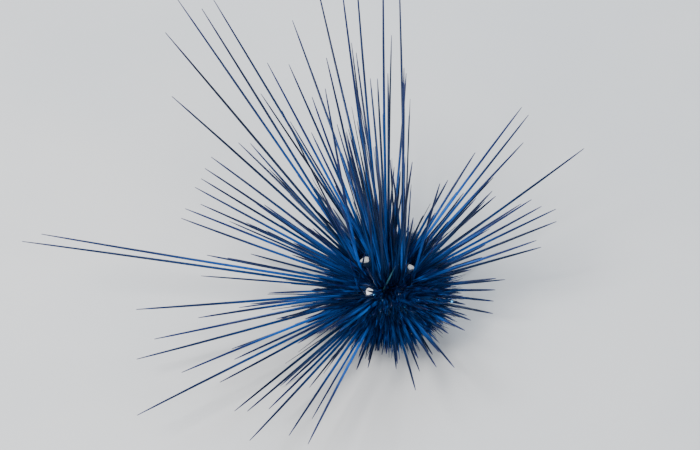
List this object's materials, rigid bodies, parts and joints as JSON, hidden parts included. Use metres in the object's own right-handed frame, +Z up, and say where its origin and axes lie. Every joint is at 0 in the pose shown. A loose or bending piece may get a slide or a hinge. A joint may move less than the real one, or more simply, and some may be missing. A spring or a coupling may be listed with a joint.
{
  "type": "long-spined sea urchin model",
  "caption": "Life-size still model of a long-spined sea urchin with fanned dark blue needles, standing on its short lower spines.",
  "frame": {"origin": "on the floor, under the centre of the bounding box, needles included", "axes": "+Z up; the picture is taken from the -Y side, looking down about 50 degrees towards +Y, with +X to its right"},
  "size_m": [0.3932, 0.3408, 0.2254],
  "materials": {
    "spine_and_skin": "satin blue-black with a blue sheen, turning indigo towards the needle tips",
    "apical_plates": "satin blue-black",
    "anal_cone_skin": "moist dark skin with an orange ring",
    "white_spot": "matt white",
    "mouth_skin": "moist dark skin",
    "tooth": "satin ivory"
  },
  "bodies": {
    "root": {"interambulacrum_1": "spine_and_skin", "interambulacrum_2": "spine_and_skin", "interambulacrum_3": "spine_and_skin", "interambulacrum_4": "spine_and_skin", "interambulacrum_5": "spine_and_skin", "ambulacrum_1": "spine_and_skin", "ambulacrum_2": "spine_and_skin", "ambulacrum_3": "spine_and_skin", "ambulacrum_4": "spine_and_skin", "ambulacrum_5": "spine_and_skin", "apical_disc": "apical_plates", "anal_cone": "anal_cone_skin", "white_spot_1": "white_spot", "white_spot_2": "white_spot", "white_spot_3": "white_spot", "white_spot_4": "white_spot", "white_spot_5": "white_spot", "mouth_membrane": "mouth_skin", "teeth": "tooth"}
  },
  "joints": []
}
